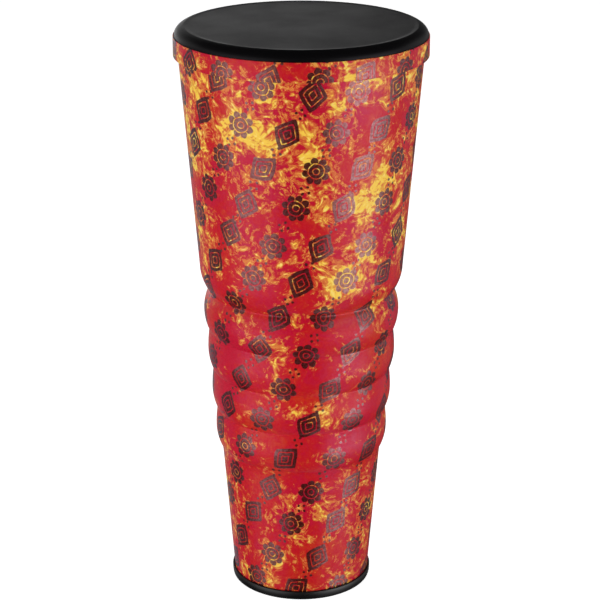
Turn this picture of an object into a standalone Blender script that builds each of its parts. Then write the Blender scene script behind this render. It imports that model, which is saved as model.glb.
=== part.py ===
"""A pre-tuned timba: a tall tapering hand drum with a ribbed waist, open at the foot.

Every piece is turned about +Z. The origin is the centre of the foot ring's underside, on the floor.
Metres, +Z up.
"""
import math

import bmesh
import bpy

# Fits
GAP = 0.0003

# Heights, stacked up from the floor
FOOT_HEIGHT = 0.0093
CONE_HEIGHT = 0.1445
RIB_COUNT = 4
RIB_PITCH = 0.0443
SHOULDER_HEIGHT = 0.0268
BOWL_HEIGHT = 0.2222
HOOP_HEIGHT = 0.0200
HEAD_RISE = 0.0100

# Radii of the printed outside
CONE_FOOT_RADIUS = 0.0728
CONE_TOP_RADIUS = 0.0847
LOW_CREST_RADIUS = 0.0912
HIGH_CREST_RADIUS = 0.1025
RIB_DEPTH = 0.0038
RIB_FULLNESS = 0.7
NECK_RADIUS = 0.0958
BOWL_FOOT_RADIUS = 0.1063
BOWL_TOP_RADIUS = 0.1249

# Shell, and the printed film drawn over it
SHELL_WALL = 0.0040
SLEEVE_FILM = 0.0005
SLEEVE_TUCK = 0.0050

# Head: film, rounded collar and the hoop that the skirt is bonded to
HEAD_FILM = 0.0008
COLLAR_WIDTH = 0.0104
HEAD_HOOP_WALL = 0.0024

# Printed band round the hoop
WRAP_FILM = 0.0008
WRAP_EDGE_ROUND = 0.0004

# Ring that carries the head, seated in the shell's mouth
BEARING_HEIGHT = 0.0120
BEARING_CREST_LAND = 0.0012
BEARING_BEVEL_WIDTH = 0.0030
BEARING_BEVEL_DROP = 0.0050
SPIGOT_DEPTH = 0.0080
SPIGOT_WALL = 0.0033

# Rubber foot ring: a channel round the shell's lower rim
FOOT_SOLE = 0.0030
FOOT_OUTER_LIP = 0.0021
FOOT_INNER_LIP = 0.0020
FOOT_EDGE_ROUND = 0.0012

# Facets
TURN_STEPS = 40
RIB_STEPS = 6
SHOULDER_STEPS = 4
COLLAR_STEPS = 5
ROUND_STEPS = 3
SHARP_ANGLE = math.radians(35)

# Levels worked out from the heights
CONE_TOP = FOOT_HEIGHT + CONE_HEIGHT
NECK = CONE_TOP + RIB_COUNT * RIB_PITCH
BOWL_FOOT = NECK + SHOULDER_HEIGHT
HOOP_FOOT = BOWL_FOOT + BOWL_HEIGHT
HOOP_TOP = HOOP_FOOT + HOOP_HEIGHT
HEAD_TOP = HOOP_TOP + HEAD_RISE
RIM_LEVEL = FOOT_SOLE + GAP
SKIRT_FOOT = HOOP_FOOT + WRAP_FILM + GAP
CREST_LEVEL = HEAD_TOP - HEAD_FILM - GAP
BEARING_SEAT = CREST_LEVEL - BEARING_HEIGHT
SHELL_TOP = BEARING_SEAT - GAP

# Radii worked out from the pieces that nest in one another
SHELL_INSET = SLEEVE_FILM + GAP
HEAD_HOOP_INNER = BOWL_TOP_RADIUS + GAP
HEAD_HOOP_OUTER = HEAD_HOOP_INNER + HEAD_HOOP_WALL
SKIRT_INNER = HEAD_HOOP_OUTER + GAP
SKIRT_OUTER = SKIRT_INNER + HEAD_FILM
WRAP_INNER = SKIRT_OUTER + GAP
WRAP_OUTER = WRAP_INNER + WRAP_FILM
FLAT_RADIUS = SKIRT_OUTER - COLLAR_WIDTH


def between(start, end, share):
    """The value a share of the way from start to end."""
    return start + (end - start) * share


def cone_radius(level):
    """Outer radius of the lower cone, carried on down inside the foot ring."""
    return between(CONE_FOOT_RADIUS, CONE_TOP_RADIUS, (level - FOOT_HEIGHT) / CONE_HEIGHT)


def lobe(share):
    """Rise of a rounded rib or shoulder from its valley, 0, to its crest, 1.

    A lower fullness makes a fuller arc and a sharper valley.
    """
    return math.sin(share * math.pi / 2) ** RIB_FULLNESS


def crest_radius(rib):
    """Crest of a rib, counted from the lowest."""
    return between(LOW_CREST_RADIUS, HIGH_CREST_RADIUS, rib / (RIB_COUNT - 1))


def valley_radius(valley):
    """Valley below a rib, counted from the lowest; the last is the neck under the bowl."""
    if valley == 0:
        return CONE_TOP_RADIUS
    if valley == RIB_COUNT:
        return NECK_RADIUS
    return (crest_radius(valley - 1) + crest_radius(valley)) / 2 - RIB_DEPTH


def waist_outline():
    """The ribs as (radius, level), from the cone's top to the neck."""
    points = [(CONE_TOP_RADIUS, CONE_TOP)]
    for rib in range(RIB_COUNT):
        for step in range(1, RIB_STEPS + 1):
            along = step / RIB_STEPS
            rising = along <= 0.5
            valley = valley_radius(rib if rising else rib + 1)
            rise = lobe(2 * along if rising else 2 - 2 * along)
            points.append((between(valley, crest_radius(rib), rise), CONE_TOP + (rib + along) * RIB_PITCH))
    return points


def shoulder_outline():
    """The bowl's rounded shoulder, from just above the neck to the bowl's foot."""
    shares = [step / SHOULDER_STEPS for step in range(1, SHOULDER_STEPS + 1)]
    return [(between(NECK_RADIUS, BOWL_FOOT_RADIUS, lobe(share)), between(NECK, BOWL_FOOT, share))
            for share in shares]


def body_outline(inset, top):
    """The printed outside moved in by inset, from inside the foot ring up to a level under the hoop."""
    points = [(cone_radius(RIM_LEVEL), RIM_LEVEL)]
    points += waist_outline() + shoulder_outline()
    points += [(BOWL_TOP_RADIUS, HOOP_FOOT), (BOWL_TOP_RADIUS, top)]
    return [(radius - inset, level) for radius, level in points]


def arc(centre, half_width, half_height, start, end, steps):
    """Points on an ellipse, angles in degrees, 0 outwards and 90 up."""
    points = []
    for step in range(steps + 1):
        angle = math.radians(between(start, end, step / steps))
        points.append((centre[0] + half_width * math.cos(angle), centre[1] + half_height * math.sin(angle)))
    return points


def collar(offset, stop_radius=None):
    """The head's rounded collar moved in by offset, from the skirt up to the flat.

    With a stop radius it starts there instead, as on a piece that is narrower than the head.
    """
    half_width = COLLAR_WIDTH - offset
    half_height = HEAD_RISE - offset
    start = 0
    if stop_radius is not None:
        start = math.degrees(math.acos((stop_radius - FLAT_RADIUS) / half_width))
    return arc((FLAT_RADIUS, HOOP_TOP), half_width, half_height, start, 90, COLLAR_STEPS)


def make_material(name, colour, roughness):
    """A plain, non-metallic finish."""
    material = bpy.data.materials.new(name)
    material.use_nodes = True
    shader = material.node_tree.nodes["Principled BSDF"]
    shader.inputs["Base Color"].default_value = (*colour, 1)
    shader.inputs["Roughness"].default_value = roughness
    shader.inputs["Metallic"].default_value = 0
    return material


def turn(name, outline, material, closed=True):
    """Spin an outline of (radius, level) points once round Z into a named solid.

    An open outline begins and ends on the axis.
    """
    mesh_data = bmesh.new()
    vertices = [mesh_data.verts.new((radius, 0, level)) for radius, level in outline]
    edges = [mesh_data.edges.new(pair) for pair in zip(vertices, vertices[1:])]
    if closed:
        edges.append(mesh_data.edges.new((vertices[-1], vertices[0])))
    bmesh.ops.spin(mesh_data, geom=vertices + edges, cent=(0, 0, 0), axis=(0, 0, 1),
                   angle=math.tau, steps=TURN_STEPS, use_duplicate=False)
    bmesh.ops.remove_doubles(mesh_data, verts=mesh_data.verts, dist=GAP / 100)
    bmesh.ops.recalc_face_normals(mesh_data, faces=mesh_data.faces)
    mesh = bpy.data.meshes.new(name)
    mesh_data.to_mesh(mesh)
    mesh_data.free()
    mesh.materials.append(material)
    mesh.shade_smooth()
    mesh.set_sharp_from_angle(angle=SHARP_ANGLE)
    solid = bpy.data.objects.new(name, mesh)
    bpy.context.scene.collection.objects.link(solid)
    return solid


def make_shell(material):
    """Moulded body with an even wall that follows the ribs inside, open at both ends."""
    outside = body_outline(SHELL_INSET, SHELL_TOP)
    inside = body_outline(SHELL_INSET + SHELL_WALL, SHELL_TOP)
    return turn("shell", outside + inside[::-1], material)


def make_shell_sleeve(material):
    """Printed film over the body, from inside the foot ring's channel to just under the hoop."""
    outside = body_outline(0, HOOP_FOOT + SLEEVE_TUCK)
    inside = body_outline(SLEEVE_FILM, HOOP_FOOT + SLEEVE_TUCK)
    return turn("shell_sleeve", outside + inside[::-1], material)


def make_foot_ring(material):
    """Rubber channel: a sole with a lip outside the film and a lip inside the shell."""
    outer_wall = [cone_radius(level) + GAP for level in (RIM_LEVEL, FOOT_HEIGHT)]
    inner_inset = SHELL_INSET + SHELL_WALL + GAP
    inner_wall = [cone_radius(level) - inner_inset for level in (RIM_LEVEL, FOOT_HEIGHT)]
    outer_radius = outer_wall[1] + FOOT_OUTER_LIP
    inner_radius = inner_wall[0] - FOOT_INNER_LIP
    rounding = min(FOOT_EDGE_ROUND, 0.6 * FOOT_OUTER_LIP)
    foot_centre = (outer_radius - rounding, rounding)
    lip_centre = (outer_radius - rounding, FOOT_HEIGHT - rounding)
    outline = [(inner_radius, 0)]
    outline += arc(foot_centre, rounding, rounding, -90, 0, ROUND_STEPS)
    outline += arc(lip_centre, rounding, rounding, 0, 90, ROUND_STEPS)
    outline += [(outer_wall[1], FOOT_HEIGHT), (outer_wall[0], FOOT_SOLE)]
    outline += [(inner_wall[0], FOOT_SOLE), (inner_wall[1], FOOT_HEIGHT)]
    outline += [(inner_radius, FOOT_HEIGHT)]
    return turn("foot_ring", outline, material)


def make_bearing_edge(material):
    """Ring with a rounded crest under the edge of the head's flat, and a spigot in the shell's mouth."""
    outer_radius = BOWL_TOP_RADIUS - SHELL_INSET
    spigot_outer = outer_radius - SHELL_WALL - GAP
    spigot_inner = spigot_outer - SPIGOT_WALL
    crest_inner = FLAT_RADIUS - BEARING_CREST_LAND
    bevel_inner = min(crest_inner - BEARING_BEVEL_WIDTH, spigot_inner)
    outline = [(outer_radius, BEARING_SEAT)]
    outline += collar(HEAD_FILM + GAP, outer_radius)
    outline += [(crest_inner, CREST_LEVEL), (bevel_inner, CREST_LEVEL - BEARING_BEVEL_DROP)]
    outline += [(bevel_inner, BEARING_SEAT), (spigot_inner, BEARING_SEAT - SPIGOT_DEPTH)]
    outline += [(spigot_outer, BEARING_SEAT - SPIGOT_DEPTH), (spigot_outer, BEARING_SEAT)]
    return turn("bearing_edge", outline, material)


def make_head_hoop(material):
    """Flat-sided hoop between the sleeve and the head's skirt."""
    top = HOOP_TOP - GAP
    outline = [(HEAD_HOOP_INNER, SKIRT_FOOT), (HEAD_HOOP_OUTER, SKIRT_FOOT)]
    outline += [(HEAD_HOOP_OUTER, top), (HEAD_HOOP_INNER, top)]
    return turn("head_hoop", outline, material)


def make_head_skin(material):
    """Head film: flat, rounded collar and a skirt that runs down outside the hoop."""
    outside = [(SKIRT_OUTER, SKIRT_FOOT)] + collar(0) + [(0, HEAD_TOP)]
    inside = [(SKIRT_INNER, SKIRT_FOOT)] + collar(HEAD_FILM) + [(0, HEAD_TOP - HEAD_FILM)]
    return turn("head_skin", outside[::-1] + inside, material, closed=False)


def make_hoop_wrap(material):
    """Printed band over the skirt, turned in under skirt and hoop at its foot."""
    rounding = min(WRAP_EDGE_ROUND, 0.6 * WRAP_FILM)
    foot_centre = (WRAP_OUTER - rounding, HOOP_FOOT + rounding)
    top_centre = (WRAP_OUTER - rounding, HOOP_TOP - rounding)
    outline = [(HEAD_HOOP_INNER, HOOP_FOOT)]
    outline += arc(foot_centre, rounding, rounding, -90, 0, ROUND_STEPS)
    outline += arc(top_centre, rounding, rounding, 0, 90, ROUND_STEPS)
    outline += [(WRAP_INNER, HOOP_TOP), (WRAP_INNER, HOOP_FOOT + WRAP_FILM)]
    outline += [(HEAD_HOOP_INNER, HOOP_FOOT + WRAP_FILM)]
    return turn("hoop_wrap", outline, material)


def build():
    """Clear the scene and make the drum from the floor up."""
    for old in list(bpy.data.objects):
        bpy.data.objects.remove(old, do_unlink=True)
    rubber = make_material("black_rubber", (0.012, 0.012, 0.013), 0.45)
    moulding = make_material("moulded_body", (0.020, 0.019, 0.019), 0.60)
    body_print = make_material("printed_body_film", (0.52, 0.045, 0.018), 0.35)
    band_print = make_material("printed_band_film", (0.46, 0.030, 0.018), 0.35)
    edge_plastic = make_material("bearing_plastic", (0.030, 0.030, 0.030), 0.50)
    hoop_plastic = make_material("hoop_plastic", (0.040, 0.040, 0.042), 0.50)
    head_film = make_material("head_film", (0.042, 0.039, 0.046), 0.42)
    make_foot_ring(rubber)
    make_shell(moulding)
    make_shell_sleeve(body_print)
    make_bearing_edge(edge_plastic)
    make_head_hoop(hoop_plastic)
    make_head_skin(head_film)
    make_hoop_wrap(band_print)


build()
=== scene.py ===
"""Looks of the timba: printed film over a ribbed body, a black head, a printed hoop band and a rubber foot."""
import math

import bpy
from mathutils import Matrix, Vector


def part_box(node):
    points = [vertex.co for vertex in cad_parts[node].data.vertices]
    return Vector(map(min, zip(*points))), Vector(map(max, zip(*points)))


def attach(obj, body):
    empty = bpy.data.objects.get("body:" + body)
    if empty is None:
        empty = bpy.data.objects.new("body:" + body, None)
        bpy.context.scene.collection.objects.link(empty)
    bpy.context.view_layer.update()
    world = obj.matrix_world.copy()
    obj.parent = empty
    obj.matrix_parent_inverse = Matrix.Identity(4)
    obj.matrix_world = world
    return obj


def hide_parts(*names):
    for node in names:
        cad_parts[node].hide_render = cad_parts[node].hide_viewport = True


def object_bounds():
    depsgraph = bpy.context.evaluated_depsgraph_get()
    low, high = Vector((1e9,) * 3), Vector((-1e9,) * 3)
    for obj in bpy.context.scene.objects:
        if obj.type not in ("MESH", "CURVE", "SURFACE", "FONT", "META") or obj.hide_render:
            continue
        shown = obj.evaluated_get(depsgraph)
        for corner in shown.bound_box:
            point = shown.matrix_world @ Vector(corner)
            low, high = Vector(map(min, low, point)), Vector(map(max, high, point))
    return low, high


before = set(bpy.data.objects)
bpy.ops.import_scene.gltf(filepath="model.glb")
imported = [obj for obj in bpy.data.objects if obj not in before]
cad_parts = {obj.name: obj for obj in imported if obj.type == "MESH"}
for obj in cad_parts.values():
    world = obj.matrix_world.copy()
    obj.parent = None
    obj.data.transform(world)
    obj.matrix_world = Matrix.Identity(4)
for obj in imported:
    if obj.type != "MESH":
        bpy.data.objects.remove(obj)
cad_box = [list(corner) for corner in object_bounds()]

# Sizes read from the frame, in metres
FLOOR_LEVEL, HEAD_TOP = cad_box[0][2], cad_box[1][2]
FOOT_LOW, FOOT_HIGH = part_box("foot_ring")
SLEEVE_LOW, SLEEVE_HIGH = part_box("shell_sleeve")
SHELL_LOW, SHELL_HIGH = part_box("shell")
BAND_LOW, BAND_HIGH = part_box("hoop_wrap")
HEAD_LOW, HEAD_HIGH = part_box("head_skin")
FOOT_RADIUS = FOOT_HIGH[0]
FOOT_TOP = FOOT_HIGH[2]
BOWL_TOP_RADIUS = SLEEVE_HIGH[0]
BAND_RADIUS = BAND_HIGH[0]
SKIRT_RADIUS = HEAD_HIGH[0]
RIM_LEVEL = SLEEVE_LOW[2]
HOOP_FOOT, HOOP_TOP = BAND_LOW[2], BAND_HIGH[2]

# The body's outline, as the solids have it
CONE_HEIGHT = 0.1445
RIB_COUNT = 4
RIB_PITCH = 0.0443
RIB_DEPTH = 0.0038
RIB_FULLNESS = 0.7
SHOULDER_HEIGHT = 0.0268
CONE_FOOT_RADIUS = 0.0728
CONE_TOP_RADIUS = 0.0847
LOW_CREST_RADIUS = 0.0912
HIGH_CREST_RADIUS = 0.1025
NECK_RADIUS = 0.0958
BOWL_FOOT_RADIUS = 0.1063
SHELL_INSET = 0.0008
SHELL_WALL = 0.0040
SLEEVE_FILM = 0.0005
COLLAR_WIDTH = 0.0104
COLLAR_END = 78
COLLAR_FILM = 0.00025
LIP_RISE = 0.0004
LIP_RUN = 0.0045
LIP_CREST = 0.0003
HEAD_FILM = 0.0008
WRAP_FILM = 0.0008
FOOT_SOLE = 0.0030
FOOT_INNER_RADIUS = 0.0652

CONE_TOP = FOOT_TOP + CONE_HEIGHT
NECK = CONE_TOP + RIB_COUNT * RIB_PITCH
BOWL_FOOT = NECK + SHOULDER_HEIGHT
FLAT_RADIUS = SKIRT_RADIUS - COLLAR_WIDTH

# Fineness of the turned pieces
BODY_STEPS = 240
TRIM_STEPS = 240
RIB_POINTS = 20
BOWL_POINTS = 26
CONE_POINTS = 18
SHOULDER_POINTS = 10

SHARP_ANGLE = math.radians(40)

# Height over which the shrunk film bridges a valley, to each side
FILM_BRIDGE = 0.0012

# Lap seams of the printed films, as angles round Z from the front, to the right
BODY_SEAM = math.radians(180)
BODY_LAP = math.radians(5)
BAND_SEAM = math.radians(23.8)
BAND_LAP = math.radians(7)
LAP_EDGE = math.radians(0.12)
LAP_STEP = 0.0003
PRINT_TURN = math.radians(30)

# Camera, fitted to the photograph's outline
CAMERA_DISTANCE = 2.0367
CAMERA_HEIGHT = 1.0433
CAMERA_PITCH = math.radians(19.683)
CAMERA_SIDE = -0.0013
FOCAL_PIXELS = 2050
FRAME_PIXELS = 600
SENSOR_WIDTH = 36


def between(start, end, share):
    """The value a share of the way from start to end."""
    return start + (end - start) * share


def lobe(share):
    """Rise of a rib or shoulder from its valley, 0, to its crest, 1."""
    return math.sin(share * math.pi / 2) ** RIB_FULLNESS


def cone_radius(level):
    """Outer radius of the lower cone at a level."""
    return between(CONE_FOOT_RADIUS, CONE_TOP_RADIUS, (level - FOOT_TOP) / CONE_HEIGHT)


def crest_radius(rib):
    """Crest of a rib, counted from the lowest."""
    return between(LOW_CREST_RADIUS, HIGH_CREST_RADIUS, rib / (RIB_COUNT - 1))


def valley_radius(valley):
    """Valley below a rib; the last is the neck under the bowl."""
    if valley == 0:
        return CONE_TOP_RADIUS
    if valley == RIB_COUNT:
        return NECK_RADIUS
    return (crest_radius(valley - 1) + crest_radius(valley)) / 2 - RIB_DEPTH


def body_radius(level):
    """Outer radius of the body at a level: lower cone, ribs, shoulder, bowl and the straight part in the hoop."""
    if level < CONE_TOP:
        return cone_radius(level)
    if level < NECK:
        rib, along = divmod((level - CONE_TOP) / RIB_PITCH, 1)
        rib = int(rib)
        rising = along < 0.5
        valley = valley_radius(rib if rising else rib + 1)
        return between(valley, crest_radius(rib), lobe(2 * along if rising else 2 - 2 * along))
    if level < BOWL_FOOT:
        return between(NECK_RADIUS, BOWL_FOOT_RADIUS, lobe((level - NECK) / SHOULDER_HEIGHT))
    share = (level - BOWL_FOOT) / (HOOP_FOOT - BOWL_FOOT)
    return between(BOWL_FOOT_RADIUS, BOWL_TOP_RADIUS, min(share, 1))


def film_radius(level):
    """Outer radius of the printed film, which bridges each valley with a small round."""
    shares = (-1, -0.6, -0.2, 0.2, 0.6, 1)
    return sum(body_radius(level + share * FILM_BRIDGE) for share in shares) / len(shares)


def body_levels(top):
    """Levels up the body, closer together beside the valleys."""
    levels = [between(RIM_LEVEL, CONE_TOP, step / CONE_POINTS) for step in range(CONE_POINTS)]
    for rib in range(RIB_COUNT):
        for step in range(RIB_POINTS):
            levels.append(CONE_TOP + (rib + (1 - math.cos(math.pi * step / RIB_POINTS)) / 2) * RIB_PITCH)
    for step in range(SHOULDER_POINTS):
        levels.append(NECK + SHOULDER_HEIGHT * (1 - math.cos(math.pi / 2 * step / SHOULDER_POINTS)))
    levels += [between(BOWL_FOOT, HOOP_FOOT, step / BOWL_POINTS) for step in range(BOWL_POINTS + 1)]
    return levels + [top]


def moved_in(outline, inset):
    """An outline moved towards the axis."""
    return [(radius - inset, level) for radius, level in outline]


def arc(centre, half_width, half_height, start, end, steps):
    """Points on an ellipse, angles in degrees, 0 outwards and 90 up."""
    points = []
    for step in range(steps + 1):
        angle = math.radians(between(start, end, step / steps))
        points.append((centre[0] + half_width * math.cos(angle), centre[1] + half_height * math.sin(angle)))
    return points


def turned(name, outline, steps):
    """A piece turned about Z: one point, extruded along the outline, then spun once round."""
    bpy.ops.object.select_all(action="DESELECT")
    bpy.ops.mesh.primitive_plane_add(size=0.001, location=(outline[0][0], 0, outline[0][1]))
    piece = bpy.context.object
    piece.name = piece.data.name = name
    bpy.ops.object.transform_apply(location=True, rotation=True, scale=True)
    bpy.ops.object.mode_set(mode="EDIT")
    bpy.ops.mesh.select_all(action="SELECT")
    bpy.ops.mesh.merge(type="CENTER")
    for (radius, level), (next_radius, next_level) in zip(outline, outline[1:]):
        shift = (next_radius - radius, 0, next_level - level)
        bpy.ops.mesh.extrude_region_move(TRANSFORM_OT_translate={"value": shift})
    bpy.ops.mesh.select_all(action="SELECT")
    bpy.ops.mesh.spin(steps=steps, angle=math.tau, center=(0, 0, 0), axis=(0, 0, 1))
    bpy.ops.mesh.select_all(action="SELECT")
    bpy.ops.mesh.remove_doubles(threshold=0.000002)
    bpy.ops.mesh.normals_make_consistent(inside=False)
    bpy.ops.object.mode_set(mode="OBJECT")
    bpy.ops.object.shade_smooth_by_angle(angle=SHARP_ANGLE)
    return piece


def print_map(piece, sheet_place, seam):
    """Gives a turned piece the UV map of its flat printed sheet, in metres, cut along its seam."""
    mesh = piece.data
    uv = mesh.uv_layers.new(name="print_sheet")
    for face in mesh.polygons:
        past = (math.atan2(face.center.x, -face.center.y) - seam) % math.tau
        middle = seam - math.tau + past
        for loop_index in face.loop_indices:
            point = mesh.vertices[mesh.loops[loop_index].vertex_index].co
            angle = math.atan2(point.x, -point.y)
            angle = middle + math.remainder(angle - middle, math.tau)
            uv.data[loop_index].uv = sheet_place(angle, point.z)


def new_node(tree, kind, **settings):
    """A node with its settings."""
    node = tree.nodes.new(kind)
    for key, value in settings.items():
        setattr(node, key, value)
    return node


def feed(tree, socket, value):
    """Links or sets a socket."""
    if isinstance(value, bpy.types.NodeSocket):
        tree.links.new(value, socket)
    elif value is not None:
        socket.default_value = value


def calc(tree, operation, *values):
    """A Math node's result."""
    node = new_node(tree, "ShaderNodeMath", operation=operation)
    for socket, value in zip(node.inputs, values):
        feed(tree, socket, value)
    return node.outputs[0]


def vector_calc(tree, operation, *values):
    """A Vector Math node's result."""
    node = new_node(tree, "ShaderNodeVectorMath", operation=operation)
    for socket, value in zip(node.inputs, values):
        feed(tree, socket, value)
    return node.outputs["Value" if operation in ("LENGTH", "DOT_PRODUCT") else "Vector"]


def ramp(tree, value, low, high, to_low=0.0, to_high=1.0):
    """A value eased from one range to another."""
    node = new_node(tree, "ShaderNodeMapRange", interpolation_type="SMOOTHSTEP")
    for socket, item in zip(node.inputs, (value, low, high, to_low, to_high)):
        feed(tree, socket, item)
    return node.outputs[0]


def noise(tree, place, scale, detail=4.0, roughness=0.5, distortion=0.0):
    """A Noise Texture's value."""
    node = new_node(tree, "ShaderNodeTexNoise")
    feed(tree, node.inputs["Vector"], place)
    node.inputs["Scale"].default_value = scale
    node.inputs["Detail"].default_value = detail
    node.inputs["Roughness"].default_value = roughness
    node.inputs["Distortion"].default_value = distortion
    return node.outputs["Fac"]


def stretch(tree, place, factors):
    """Coordinates scaled along each axis."""
    return vector_calc(tree, "MULTIPLY", place, factors)


def mix_colour(tree, factor, first, second):
    """A blend of two colours."""
    node = new_node(tree, "ShaderNodeMix", data_type="RGBA")
    feed(tree, node.inputs["Factor"], factor)
    feed(tree, node.inputs[6], first)
    feed(tree, node.inputs[7], second)
    return node.outputs[2]


def group_tree(name, inputs, outputs):
    """An empty node group, with its input and output nodes."""
    tree = bpy.data.node_groups.new(name, "ShaderNodeTree")
    for label, kind in inputs:
        tree.interface.new_socket(name=label, in_out="INPUT", socket_type=kind)
    for label, kind in outputs:
        tree.interface.new_socket(name=label, in_out="OUTPUT", socket_type=kind)
    return tree, tree.nodes.new("NodeGroupInput"), tree.nodes.new("NodeGroupOutput")


def use_group(tree, group, **values):
    """A node group placed in a material, with its inputs by name."""
    node = new_node(tree, "ShaderNodeGroup", node_tree=group)
    for label, value in values.items():
        feed(tree, node.inputs[label], value)
    return node


MAGENTA = (0.465, 0.0052, 0.0255, 1)
CRIMSON = (0.490, 0.0078, 0.0130, 1)
SCARLET = (0.505, 0.0250, 0.0090, 1)
EMBER = (0.55, 0.062, 0.022, 1)
ORANGE = (0.64, 0.175, 0.032, 1)
PEACH = (0.78, 0.36, 0.068, 1)
MUSTARD = (0.70, 0.33, 0.036, 1)
YELLOW = (0.86, 0.55, 0.060, 1)
CREAM = (0.88, 0.64, 0.15, 1)
INK = (0.080, 0.0030, 0.0018, 1)
INK_BRONZE = 0.50
ROLL_PLACE = 3.5
FIGURE_PITCH = 0.0445
FIGURE_RADIUS = 0.0140
DOT_RADIUS = 0.0015
BLACK_FILM = (0.0030, 0.0027, 0.0031, 1)
RUBBER = (0.0032, 0.0030, 0.0032, 1)
MOULDING = (0.020, 0.019, 0.019, 1)


def pull(tree, place, scale, reach, detail=1):
    """A place shifted by noise, up to about reach each way."""
    node = new_node(tree, "ShaderNodeTexNoise")
    feed(tree, node.inputs["Vector"], place)
    node.inputs["Scale"].default_value = scale
    node.inputs["Detail"].default_value = detail
    centred = vector_calc(tree, "SUBTRACT", node.outputs["Color"], (0.5, 0.5, 0.5))
    shift = new_node(tree, "ShaderNodeVectorMath", operation="SCALE")
    feed(tree, shift.inputs[0], centred)
    shift.inputs["Scale"].default_value = 2 * reach
    return vector_calc(tree, "ADD", place, shift.outputs[0])


def marbling_group():
    """Red ground that drifts from magenta to orange red, broken by feathered patches of orange and yellow."""
    tree, given, result = group_tree("marbled_ground", [("Sheet", "NodeSocketVector"), ("Share", "NodeSocketFloat")],
                                     [("Colour", "NodeSocketColor")])
    sheet = given.outputs["Sheet"]
    flow = pull(tree, sheet, 12, 0.03)
    swirl = pull(tree, pull(tree, sheet, 26, 0.013), 100, 0.004)
    broad = noise(tree, stretch(tree, flow, (1, 0.8, 1)), 18, 2)
    middle = noise(tree, swirl, 43, 2)
    fine = noise(tree, swirl, 112, 3, 0.55)
    small = noise(tree, swirl, 240, 2)
    heat = calc(tree, "SUBTRACT", given.outputs["Share"], 1.75)
    for layer, weight in ((broad, 1.5), (middle, 1.1), (fine, 1.1), (small, 0.8)):
        heat = calc(tree, "MULTIPLY_ADD", layer, weight, heat)
    drift = calc(tree, "MULTIPLY_ADD", fine, 0.5, noise(tree, flow, 16, 3))
    drift = calc(tree, "MULTIPLY_ADD", small, 0.4, drift)
    red = mix_colour(tree, ramp(tree, drift, 0.82, 0.96), MAGENTA, CRIMSON)
    red = mix_colour(tree, ramp(tree, drift, 0.96, 1.12), red, SCARLET)
    warm = mix_colour(tree, ramp(tree, heat, 0.36, 0.52), red, EMBER)
    line = mix_colour(tree, ramp(tree, fine, 0.45, 0.58), ORANGE, PEACH)
    strand = ramp(tree, calc(tree, "ABSOLUTE", calc(tree, "SUBTRACT", small, 0.52)), 0, 0.05, 1, 0)
    warm = mix_colour(tree, calc(tree, "MULTIPLY", strand, ramp(tree, heat, 0.27, 0.46, 0, 0.8)), warm, line)
    warm = mix_colour(tree, ramp(tree, heat, 0.51, 0.60), warm, ORANGE)
    flecks = calc(tree, "MULTIPLY", ramp(tree, small, 0.56, 0.66), ramp(tree, heat, 0.44, 0.56, 0, 0.7))
    warm = mix_colour(tree, flecks, warm, PEACH)
    gold = mix_colour(tree, ramp(tree, fine, 0.38, 0.54), MUSTARD, YELLOW)
    gold = mix_colour(tree, ramp(tree, small, 0.34, 0.48, 0.9, 0), gold, ORANGE)
    gold = mix_colour(tree, ramp(tree, small, 0.56, 0.70), gold, CREAM)
    tree.links.new(mix_colour(tree, ramp(tree, heat, 0.63, 0.73), warm, gold), result.inputs["Colour"])
    return tree


def grid_group():
    """Half-drop grid of figures set by hand: the place inside a cell, and whether its column is an odd one."""
    tree, given, result = group_tree("half_drop_grid", [("Sheet", "NodeSocketVector"), ("Pitch", "NodeSocketFloat"),
                                                        ("Sway", "NodeSocketFloat"), ("Drift", "NodeSocketFloat")],
                                     [("Local", "NodeSocketVector"), ("Odd", "NodeSocketFloat")])
    split = new_node(tree, "ShaderNodeSeparateXYZ")
    tree.links.new(given.outputs["Sheet"], split.inputs[0])
    pitch = given.outputs["Pitch"]
    across = calc(tree, "DIVIDE", split.outputs[0], pitch)
    column = calc(tree, "FLOOR", across)
    odd = calc(tree, "FLOORED_MODULO", column, 2.0)
    up = calc(tree, "ADD", calc(tree, "DIVIDE", split.outputs[1], pitch), calc(tree, "MULTIPLY", odd, 0.5))
    row = calc(tree, "FLOOR", up)
    local, cell = (new_node(tree, "ShaderNodeCombineXYZ") for _ in range(2))
    for index, (value, number) in enumerate(((across, column), (up, row))):
        inside = calc(tree, "SUBTRACT", calc(tree, "SUBTRACT", value, number), 0.5)
        feed(tree, local.inputs[index], calc(tree, "MULTIPLY", inside, pitch))
        feed(tree, cell.inputs[index], number)
    chance = new_node(tree, "ShaderNodeTexWhiteNoise", noise_dimensions="3D")
    tree.links.new(cell.outputs[0], chance.inputs["Vector"])
    shift = new_node(tree, "ShaderNodeVectorMath", operation="SCALE")
    feed(tree, shift.inputs[0], vector_calc(tree, "SUBTRACT", chance.outputs["Color"], (0.5, 0.5, 0.5)))
    tree.links.new(given.outputs["Drift"], shift.inputs["Scale"])
    turn = new_node(tree, "ShaderNodeVectorRotate", rotation_type="Z_AXIS")
    feed(tree, turn.inputs["Vector"], vector_calc(tree, "ADD", local.outputs[0], shift.outputs[0]))
    sway = calc(tree, "MULTIPLY", calc(tree, "SUBTRACT", chance.outputs["Value"], 0.5), given.outputs["Sway"])
    tree.links.new(sway, turn.inputs["Angle"])
    tree.links.new(turn.outputs[0], result.inputs["Local"])
    tree.links.new(odd, result.inputs["Odd"])
    return tree


def line_mask(tree, value, middle, half_width, blur):
    """1 on a line where the value meets middle, 0 away from it."""
    return ramp(tree, calc(tree, "ABSOLUTE", calc(tree, "SUBTRACT", value, middle)), half_width - blur,
                half_width + blur, 1.0, 0.0)


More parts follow.
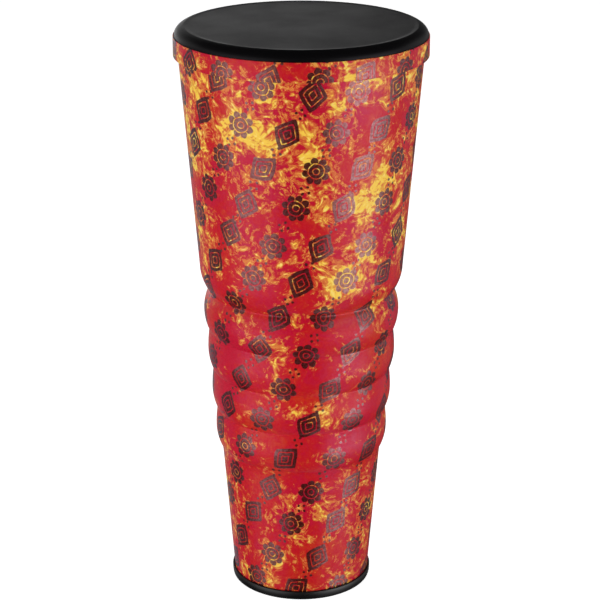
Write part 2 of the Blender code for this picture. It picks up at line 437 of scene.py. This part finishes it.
def plane_parts(tree, given):
    """The place in a figure as its two coordinates over the figure's radius, and the distance from its middle."""
    split = new_node(tree, "ShaderNodeSeparateXYZ")
    tree.links.new(given.outputs["Local"], split.inputs[0])
    radius = given.outputs["Radius"]
    across = calc(tree, "DIVIDE", split.outputs[0], radius)
    up = calc(tree, "DIVIDE", split.outputs[1], radius)
    squares = calc(tree, "MULTIPLY_ADD", across, across, calc(tree, "MULTIPLY", up, up))
    return across, up, calc(tree, "SQRT", squares)


def figure_tree(name):
    """An empty figure: a place and a radius in, a mask out."""
    return group_tree(name, [("Local", "NodeSocketVector"), ("Radius", "NodeSocketFloat")],
                      [("Mask", "NodeSocketFloat")])


def rosette_group():
    """Eight-petalled rosette with a light ring, a light eye and light gaps between its petals."""
    tree, given, result = figure_tree("rosette_figure")
    across, up, reach = plane_parts(tree, given)
    turn = calc(tree, "ARCTAN2", up, across)
    petals = calc(tree, "ABSOLUTE", calc(tree, "COSINE", calc(tree, "MULTIPLY", turn, 4.0)))
    edge = calc(tree, "MULTIPLY_ADD", petals, 0.24, 0.78)
    disc = ramp(tree, calc(tree, "SUBTRACT", reach, edge), -0.03, 0.03, 1.0, 0.0)
    ring = line_mask(tree, reach, 0.57, 0.036, 0.02)
    eye = line_mask(tree, reach, 0.24, 0.034, 0.02)
    gaps = calc(tree, "MULTIPLY", ramp(tree, petals, 0.08, 0.18, 1.0, 0.0), ramp(tree, reach, 0.62, 0.68))
    light = calc(tree, "MAXIMUM", calc(tree, "MAXIMUM", ring, eye), gaps)
    tree.links.new(calc(tree, "MULTIPLY", disc, calc(tree, "SUBTRACT", 1.0, light)), result.inputs["Mask"])
    return tree


def lozenge_group():
    """Upright lozenge with bowed sides and two light lines inside it."""
    tree, given, result = figure_tree("lozenge_figure")
    across, up, _ = plane_parts(tree, given)
    wide = calc(tree, "POWER", calc(tree, "ABSOLUTE", across), 1.15)
    tall = calc(tree, "POWER", calc(tree, "MULTIPLY", calc(tree, "ABSOLUTE", up), 0.80), 1.15)
    reach = calc(tree, "ADD", wide, tall)
    solid = ramp(tree, reach, 0.97, 1.03, 1.0, 0.0)
    light = calc(tree, "MAXIMUM", line_mask(tree, reach, 0.62, 0.045, 0.02), line_mask(tree, reach, 0.25, 0.04, 0.02))
    tree.links.new(calc(tree, "MULTIPLY", solid, calc(tree, "SUBTRACT", 1.0, light)), result.inputs["Mask"])
    return tree


def dots_group():
    """Four dots round a middle, three dot widths away from it."""
    tree, given, result = figure_tree("four_dots")
    across, up, _ = plane_parts(tree, given)
    wide, tall = calc(tree, "ABSOLUTE", across), calc(tree, "ABSOLUTE", up)
    offset = calc(tree, "SUBTRACT", calc(tree, "MAXIMUM", wide, tall), 3.0)
    near = calc(tree, "MINIMUM", wide, tall)
    reach = calc(tree, "SQRT", calc(tree, "MULTIPLY_ADD", offset, offset, calc(tree, "MULTIPLY", near, near)))
    tree.links.new(ramp(tree, reach, 0.85, 1.15, 1.0, 0.0), result.inputs["Mask"])
    return tree


def grain_group():
    """Fine surface grain over a broad ripple: a height, and a slow drift for roughness and colour."""
    tree, given, result = group_tree("surface_grain", [("Place", "NodeSocketVector"), ("Size", "NodeSocketFloat"),
                                                       ("Ripple", "NodeSocketFloat")],
                                     [("Height", "NodeSocketFloat"), ("Wear", "NodeSocketFloat")])
    place = given.outputs["Place"]
    fine = new_node(tree, "ShaderNodeTexNoise")
    tree.links.new(place, fine.inputs["Vector"])
    tree.links.new(given.outputs["Size"], fine.inputs["Scale"])
    fine.inputs["Detail"].default_value = 3
    broad = noise(tree, place, 34, 3)
    height = calc(tree, "MULTIPLY_ADD", broad, given.outputs["Ripple"], fine.outputs["Fac"])
    tree.links.new(height, result.inputs["Height"])
    tree.links.new(noise(tree, place, 11, 5, 0.6), result.inputs["Wear"])
    return tree


groups = {"marbling": marbling_group(), "grid": grid_group(), "rosette": rosette_group(),
          "lozenge": lozenge_group(), "dots": dots_group(), "grain": grain_group()}


def base_material(name, roughness, specular):
    """A material with its Principled BSDF, its node tree and the Object coordinates."""
    material = bpy.data.materials.new(name)
    material.use_nodes = True
    tree = material.node_tree
    shader = tree.nodes["Principled BSDF"]
    shader.inputs["Roughness"].default_value = roughness
    shader.inputs["Specular IOR Level"].default_value = specular
    place = new_node(tree, "ShaderNodeTexCoord").outputs["Object"]
    return material, tree, shader, place


def add_grain(tree, shader, place, size, ripple, depth, rough_low, rough_high):
    """Bump from the grain group, with roughness that varies gently."""
    grain = use_group(tree, groups["grain"], Place=place, Size=size, Ripple=ripple)
    bump = new_node(tree, "ShaderNodeBump")
    bump.inputs["Strength"].default_value = 1.0
    bump.inputs["Distance"].default_value = depth
    tree.links.new(grain.outputs["Height"], bump.inputs["Height"])
    tree.links.new(bump.outputs["Normal"], shader.inputs["Normal"])
    tree.links.new(ramp(tree, grain.outputs["Wear"], 0.3, 0.7, rough_low, rough_high), shader.inputs["Roughness"])
    return grain


def printed_film(name, share_foot, share_waist, share_bowl):
    """Satin printed film: marbled ground with rosettes, lozenges and dots in a glossier dark ink."""
    material, tree, shader, place = base_material(name, 0.30, 0.19)
    shader.inputs["Specular Tint"].default_value = (0.26, 0.58, 1.0, 1)
    sheet = new_node(tree, "ShaderNodeUVMap", uv_map="print_sheet").outputs[0]
    height = new_node(tree, "ShaderNodeSeparateXYZ")
    tree.links.new(place, height.inputs[0])
    low = ramp(tree, height.outputs[2], 0.12, 0.20, share_foot, share_waist)
    share = calc(tree, "ADD", low, ramp(tree, height.outputs[2], 0.28, 0.40, 0, share_bowl - share_waist))
    roll = vector_calc(tree, "ADD", sheet, (0, 0, ROLL_PLACE))
    ground = use_group(tree, groups["marbling"], Sheet=roll, Share=share).outputs["Colour"]
    turned_sheet = new_node(tree, "ShaderNodeVectorRotate", rotation_type="Z_AXIS")
    tree.links.new(sheet, turned_sheet.inputs["Vector"])
    turned_sheet.inputs["Angle"].default_value = PRINT_TURN
    drawn = pull(tree, turned_sheet.outputs[0], 95, 0.0014)
    cell = use_group(tree, groups["grid"], Sheet=drawn, Pitch=FIGURE_PITCH, Sway=0.8, Drift=0.005)
    local = cell.outputs["Local"]
    rosette = use_group(tree, groups["rosette"], Local=local, Radius=FIGURE_RADIUS).outputs[0]
    lozenge = use_group(tree, groups["lozenge"], Local=local, Radius=FIGURE_RADIUS).outputs[0]
    odd = cell.outputs["Odd"]
    figure = calc(tree, "ADD", calc(tree, "MULTIPLY", rosette, calc(tree, "SUBTRACT", 1.0, odd)),
                  calc(tree, "MULTIPLY", lozenge, odd))
    moved = vector_calc(tree, "ADD", drawn, (0, FIGURE_PITCH / 2, 0))
    gap = use_group(tree, groups["grid"], Sheet=moved, Pitch=FIGURE_PITCH, Sway=0.6, Drift=0.003)
    dots = use_group(tree, groups["dots"], Local=gap.outputs["Local"], Radius=DOT_RADIUS).outputs[0]
    figure = calc(tree, "MAXIMUM", figure, dots)
    speckle = ramp(tree, noise(tree, place, 800, 2, 0.6), 0.35, 0.6, 0.91, 0.99)
    ink = calc(tree, "MULTIPLY", figure, speckle)
    tree.links.new(mix_colour(tree, ink, ground, INK), shader.inputs["Base Color"])
    tree.links.new(calc(tree, "MULTIPLY", ink, INK_BRONZE), shader.inputs["Metallic"])
    add_grain(tree, shader, place, 620, 1.3, 0.00010, 0.26, 0.34)
    shader.inputs["Coat Roughness"].default_value = 0.37
    shader.inputs["Coat IOR"].default_value = 1.6
    sparkle = noise(tree, place, 420, 2, 0.6)
    bare = ramp(tree, sparkle, 0.40, 0.60, 0.0, 0.12)
    inked = ramp(tree, sparkle, 0.38, 0.62, 0.40, 1.0)
    gloss = calc(tree, "MULTIPLY_ADD", calc(tree, "SUBTRACT", inked, bare), ink, bare)
    tree.links.new(gloss, shader.inputs["Coat Weight"])
    return material


def head_material():
    """Black synthetic head film with a fine texture."""
    material, tree, shader, place = base_material("black_head_film", 0.4, 0.08)
    shader.inputs["Specular Tint"].default_value = (0.99, 0.91, 1.0, 1)
    grain = add_grain(tree, shader, place, 2600, 0.2, 0.00003, 0.30, 0.38)
    tree.links.new(mix_colour(tree, grain.outputs["Wear"], BLACK_FILM, (0.0042, 0.0039, 0.0043, 1)),
                   shader.inputs["Base Color"])
    return material


def rubber_material():
    """Black rubber with a soft sheen and a little grey bloom."""
    material, tree, shader, place = base_material("foot_rubber", 0.4, 0.08)
    height = new_node(tree, "ShaderNodeSeparateXYZ")
    tree.links.new(place, height.inputs[0])
    tree.links.new(ramp(tree, height.outputs[2], 0.0032, 0.0085, 0.0, 0.52), shader.inputs["Coat Weight"])
    shader.inputs["Coat Roughness"].default_value = 0.44
    grain = add_grain(tree, shader, place, 1500, 0.5, 0.00006, 0.32, 0.42)
    tree.links.new(mix_colour(tree, ramp(tree, grain.outputs["Wear"], 0.5, 0.8), RUBBER, (0.0065, 0.0060, 0.0060, 1)),
                   shader.inputs["Base Color"])
    return material


def moulding_material(name, colour):
    """Plain dark moulding with a fine grain."""
    material, tree, shader, place = base_material(name, 0.6, 0.4)
    grain = add_grain(tree, shader, place, 900, 0.8, 0.00010, 0.52, 0.66)
    lighter = tuple(min(1, 1.5 * part) for part in colour[:3]) + (1,)
    tree.links.new(mix_colour(tree, grain.outputs["Wear"], colour, lighter), shader.inputs["Base Color"])
    return material


def finish_piece(piece, material, slot, *nodes):
    """Gives a piece its material, and lets it stand for its CAD nodes; the slot argument is not used."""
    piece.data.materials.clear()
    piece.data.materials.append(material)
    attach(piece, "root")
    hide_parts(*nodes)


# The body's film, as a flat sheet, is a sector of a ring: its middle is the bowl cone's far tip
BOWL_SLOPE = (BOWL_TOP_RADIUS - BOWL_FOOT_RADIUS) / (HOOP_FOOT - BOWL_FOOT)
TIP_SINE = BOWL_SLOPE / math.hypot(1, BOWL_SLOPE)
TIP_LEVEL = BOWL_FOOT - BOWL_FOOT_RADIUS / BOWL_SLOPE
TIP_STRETCH = math.hypot(1, BOWL_SLOPE)


def body_sheet(angle, level):
    """Place on the body's flat sheet."""
    distance = (level - TIP_LEVEL) * TIP_STRETCH
    spread = angle * TIP_SINE
    return (distance * math.sin(spread), distance * math.cos(spread))


def band_sheet(angle, level):
    """Place on the hoop band's flat strip, which was cut elsewhere from the same print."""
    return (angle * BAND_RADIUS + 0.013, level - HOOP_FOOT + 0.009)


def raise_lap(piece, seam, lap, outside):
    """Lifts the print's overlapping edge by one film: a step at the seam that runs out again past the lap."""
    bpy.ops.object.select_all(action="DESELECT")
    bpy.context.view_layer.objects.active = piece
    piece.select_set(True)
    bpy.ops.object.mode_set(mode="EDIT")
    for angle in (seam, seam + LAP_EDGE):
        bpy.ops.mesh.select_all(action="SELECT")
        bpy.ops.mesh.bisect(plane_co=(0, 0, 0), plane_no=(math.cos(angle), math.sin(angle), 0))
    bpy.ops.mesh.select_mode(type="FACE")
    bpy.ops.mesh.select_all(action="DESELECT")
    bpy.ops.object.mode_set(mode="OBJECT")
    for face in piece.data.polygons:
        centre = face.center
        past = (math.atan2(centre.x, -centre.y) - seam) % math.tau
        face.select = LAP_EDGE < past < lap and math.hypot(centre.x, centre.y) > outside(centre.z)
    bpy.ops.object.mode_set(mode="EDIT")
    bpy.ops.transform.shrink_fatten(value=LAP_STEP)
    bpy.ops.mesh.select_mode(type="VERT")
    bpy.ops.object.mode_set(mode="OBJECT")
    bpy.ops.object.shade_smooth_by_angle(angle=SHARP_ANGLE)


body_print = printed_film("printed_body_film", -0.18, -0.34, -0.05)
band_print = printed_film("printed_band_film", -0.05, -0.05, -0.05)
moulding = moulding_material("moulded_body", MOULDING)

sleeve_line = [(film_radius(level), level) for level in body_levels(SLEEVE_HIGH[2])]
sleeve = turned("printed_sleeve", sleeve_line + moved_in(sleeve_line, SLEEVE_FILM)[::-1] + sleeve_line[:1], BODY_STEPS)
raise_lap(sleeve, BODY_SEAM, BODY_LAP, lambda level: film_radius(level) - SLEEVE_FILM / 2)
print_map(sleeve, body_sheet, BODY_SEAM)
finish_piece(sleeve, body_print, "body_print", "shell_sleeve")

shell_line = [(body_radius(level) - SHELL_INSET, level) for level in body_levels(SHELL_HIGH[2])]
body = turned("moulded_shell", shell_line + moved_in(shell_line, SHELL_WALL)[::-1] + shell_line[:1], 120)
finish_piece(body, moulding, "moulded_body", "shell")

rounding = 0.00045
band_line = [(BOWL_TOP_RADIUS + 0.0003, HOOP_FOOT)]
band_line += arc((BAND_RADIUS - rounding, HOOP_FOOT + rounding), rounding, rounding, -90, 0, 5)
band_line += arc((BAND_RADIUS - rounding, HOOP_TOP - rounding), rounding, rounding, 0, 90, 5)
band_line += [(BAND_RADIUS - WRAP_FILM, HOOP_TOP), (BAND_RADIUS - WRAP_FILM, HOOP_FOOT + WRAP_FILM)]
band_line += [(BOWL_TOP_RADIUS + 0.0003, HOOP_FOOT + WRAP_FILM), (BOWL_TOP_RADIUS + 0.0003, HOOP_FOOT)]
band = turned("printed_hoop_band", band_line, TRIM_STEPS)
raise_lap(band, BAND_SEAM, BAND_LAP, lambda level: BAND_RADIUS - WRAP_FILM / 2)
print_map(band, band_sheet, BAND_SEAM)
finish_piece(band, band_print, "band_print", "hoop_wrap")

# The collar meets the flat at a crease, so its curve stops short of level there
collar_end = math.radians(COLLAR_END)
collar_width = COLLAR_WIDTH / (1 - math.cos(collar_end))
collar_rise = (HEAD_TOP - HOOP_TOP) / math.sin(collar_end)
collar_middle = (SKIRT_RADIUS - collar_width, HOOP_TOP)
head_out = arc(collar_middle, collar_width, collar_rise, 0, COLLAR_END, 18)
head_in = arc(collar_middle, collar_width - HEAD_FILM, collar_rise - COLLAR_FILM, 0, COLLAR_END, 18)
flat_top = HEAD_TOP - LIP_RISE
flat_radius = FLAT_RADIUS - LIP_RUN
lip = [(FLAT_RADIUS - LIP_CREST, HEAD_TOP - LIP_CREST * LIP_RISE / LIP_RUN), (flat_radius + LIP_CREST, flat_top + 0.00001)]
flat_shares = (1, 0.97, 0.8, 0.6, 0.4, 0.2, 0)
head_line = [(SKIRT_RADIUS, HEAD_LOW[2])] + head_out + lip + [(flat_radius * share, flat_top) for share in flat_shares]
head_line += [(flat_radius * share, HEAD_TOP - HEAD_FILM) for share in flat_shares[::-1]]
head_line += head_in[::-1] + [(SKIRT_RADIUS - HEAD_FILM, HEAD_LOW[2]), (SKIRT_RADIUS, HEAD_LOW[2])]
head = turned("head_film", head_line, TRIM_STEPS)
finish_piece(head, head_material(), "head_film", "head_skin")

foot_shoulder = 0.0008
foot_tuck = 0.0013
foot_bulge = 0.0078
inner_wall = FOOT_INNER_RADIUS + 0.0020
outer_wall = CONE_FOOT_RADIUS + 0.0003
foot_line = [(FOOT_INNER_RADIUS, FOOT_LOW[2])]
foot_line += arc((FOOT_RADIUS - foot_tuck, FOOT_LOW[2] + foot_bulge), foot_tuck, foot_bulge, -90, 0, 14)
foot_line += arc((FOOT_RADIUS - foot_shoulder, FOOT_TOP - foot_shoulder), foot_shoulder, foot_shoulder, 0, 90, 10)
foot_line += [(outer_wall, FOOT_TOP), (outer_wall - 0.0005, FOOT_SOLE), (inner_wall, FOOT_SOLE)]
foot_line += [(inner_wall + 0.0005, FOOT_TOP), (FOOT_INNER_RADIUS, FOOT_TOP), (FOOT_INNER_RADIUS, FOOT_LOW[2])]
foot = turned("rubber_foot", foot_line, TRIM_STEPS)
finish_piece(foot, rubber_material(), "foot_rubber", "foot_ring")

for node, colour in (("head_hoop", (0.040, 0.040, 0.042, 1)), ("bearing_edge", (0.030, 0.030, 0.030, 1))):
    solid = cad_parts[node]
    solid.data.materials.clear()
    solid.data.materials.append(moulding_material(node + "_plastic", colour))


FRONT_GLOW = 0.03
LEFT_PANEL_GLOW = 4.8
RIGHT_PANEL_GLOW = 8.2
RIGHT_PANEL_SWING = math.radians(7)
REAR_LEFT_GLOW = 0.27
REAR_RIGHT_GLOW = 0.50
COLLAR_SIDE_GLOW = 0.80
BACK_LEFT_GLOW = 0.29
BACK_RIGHT_GLOW = 0.050
CEILING_GLOW = 0.025
FLOOR_GLOW = 0.85


def stage_floor():
    """Wide pale floor that shows white to the eye and keeps the drum's soft shadow."""
    bpy.ops.mesh.primitive_plane_add(size=16, location=(0, 0, FLOOR_LEVEL - 0.0005))
    floor = bpy.context.object
    floor.name = "pale_floor"
    floor.visible_glossy = False
    material = bpy.data.materials.new("pale_floor")
    material.use_nodes = True
    tree = material.node_tree
    shader = tree.nodes["Principled BSDF"]
    shader.inputs["Base Color"].default_value = (0.80, 0.80, 0.80, 1)
    shader.inputs["Roughness"].default_value = 0.9
    shader.inputs["Specular IOR Level"].default_value = 0
    path = new_node(tree, "ShaderNodeLightPath")
    seen = calc(tree, "MAXIMUM", path.outputs["Is Camera Ray"], path.outputs["Is Transmission Ray"])
    glow = new_node(tree, "ShaderNodeEmission")
    feed(tree, glow.inputs["Strength"], calc(tree, "MULTIPLY", seen, FLOOR_GLOW))
    total = new_node(tree, "ShaderNodeAddShader")
    tree.links.new(shader.outputs[0], total.inputs[0])
    tree.links.new(glow.outputs[0], total.inputs[1])
    tree.links.new(total.outputs[0], tree.nodes["Material Output"].inputs["Surface"])
    floor.data.materials.append(material)


def by_elevation(tree, upward, start, end, from_value, to_value):
    """A value eased between two elevations in degrees, given a direction's upward part."""
    return ramp(tree, upward, math.sin(math.radians(start)), math.sin(math.radians(end)), from_value, to_value)


def stage_world():
    """White to the eye; as light, a low bright panel left and right, a pale back and a dark front and ceiling."""
    world = bpy.data.worlds.new("studio")
    bpy.context.scene.world = world
    world.use_nodes = True
    tree = world.node_tree
    background = tree.nodes["Background"]
    split = new_node(tree, "ShaderNodeSeparateXYZ")
    tree.links.new(new_node(tree, "ShaderNodeTexCoord").outputs["Generated"], split.inputs[0])
    sideways, forward, upward = split.outputs
    turn = calc(tree, "ARCTAN2", calc(tree, "ABSOLUTE", sideways), calc(tree, "MULTIPLY", forward, -1.0))
    panel_turn = calc(tree, "SUBTRACT", turn, ramp(tree, sideways, -0.1, 0.1, 0.0, RIGHT_PANEL_SWING))
    panels = ramp(tree, sideways, -0.2, 0.2, LEFT_PANEL_GLOW, RIGHT_PANEL_GLOW)
    panels = calc(tree, "MULTIPLY", panels, by_elevation(tree, upward, -22, -2, 1.0, 0.35))
    sides = ramp(tree, panel_turn, math.radians(17), math.radians(33), FRONT_GLOW, panels)
    rear = ramp(tree, sideways, -0.2, 0.2, REAR_LEFT_GLOW, REAR_RIGHT_GLOW)
    rear = by_elevation(tree, upward, -4, 10, rear, COLLAR_SIDE_GLOW)
    sides = ramp(tree, panel_turn, math.radians(64), math.radians(94), sides, rear)
    sides = calc(tree, "MULTIPLY", sides, by_elevation(tree, upward, -39, -18, 0.15, 1.0))
    back = ramp(tree, sideways, -0.02, 0.10, BACK_LEFT_GLOW, BACK_RIGHT_GLOW)
    back = calc(tree, "MULTIPLY", back, by_elevation(tree, upward, -14, -4, 0.2, 1.0))
    back = calc(tree, "MULTIPLY", back, by_elevation(tree, upward, -2, 13, 5.4, 1.0))
    level = ramp(tree, turn, math.radians(115), math.radians(160), sides, back)
    level = by_elevation(tree, upward, 18, 32, level, CEILING_GLOW)
    path = new_node(tree, "ShaderNodeLightPath")
    seen = calc(tree, "MAXIMUM", path.outputs["Is Camera Ray"], path.outputs["Is Transmission Ray"])
    background.inputs["Color"].default_value = (1, 1, 1, 1)
    feed(tree, background.inputs["Strength"], ramp(tree, seen, 0.0, 1.0, level, 1.0))


def stage_lamp(name, place, target, width, height, power):
    """A soft rectangular lamp aimed at a point, without a reflection of its own."""
    light = bpy.data.lights.new(name, "AREA")
    light.shape = "RECTANGLE"
    light.size = width
    light.size_y = height
    light.energy = power
    lamp = bpy.data.objects.new(name, light)
    bpy.context.scene.collection.objects.link(lamp)
    lamp.visible_glossy = False
    lamp.location = place
    lamp.rotation_euler = (Vector(target) - Vector(place)).to_track_quat("-Z", "Y").to_euler()


def stage_camera():
    """The photograph's viewpoint."""
    data = bpy.data.cameras.new("photo_camera")
    data.sensor_width = SENSOR_WIDTH
    data.lens = FOCAL_PIXELS * SENSOR_WIDTH / FRAME_PIXELS
    data.clip_end = 100
    camera = bpy.data.objects.new("photo_camera", data)
    bpy.context.scene.collection.objects.link(camera)
    camera.location = (CAMERA_SIDE, -CAMERA_DISTANCE, CAMERA_HEIGHT)
    camera.rotation_euler = (math.pi / 2 - CAMERA_PITCH, 0, 0)
    bpy.context.scene.camera = camera


stage_floor()
stage_world()
stage_lamp("overhead_softbox", (0, 1.6, 2.4), (0, 0, HEAD_TOP), 1.6, 0.8, 16)
stage_lamp("left_fill", (-2.1, -1.5, 0.9), (0, 0, 0.15), 2.0, 1.4, 25)
stage_lamp("right_fill", (2.1, -1.5, 0.9), (0, 0, 0.15), 2.0, 1.4, 14)
stage_lamp("low_left", (-0.75, -0.62, 0.15), (0, 0, 0.10), 0.6, 0.2, 2.0)
stage_lamp("low_right", (0.75, -0.62, 0.15), (0, 0, 0.10), 0.6, 0.2, 1.3)
stage_camera()
bpy.context.scene.view_settings.view_transform = "Standard"
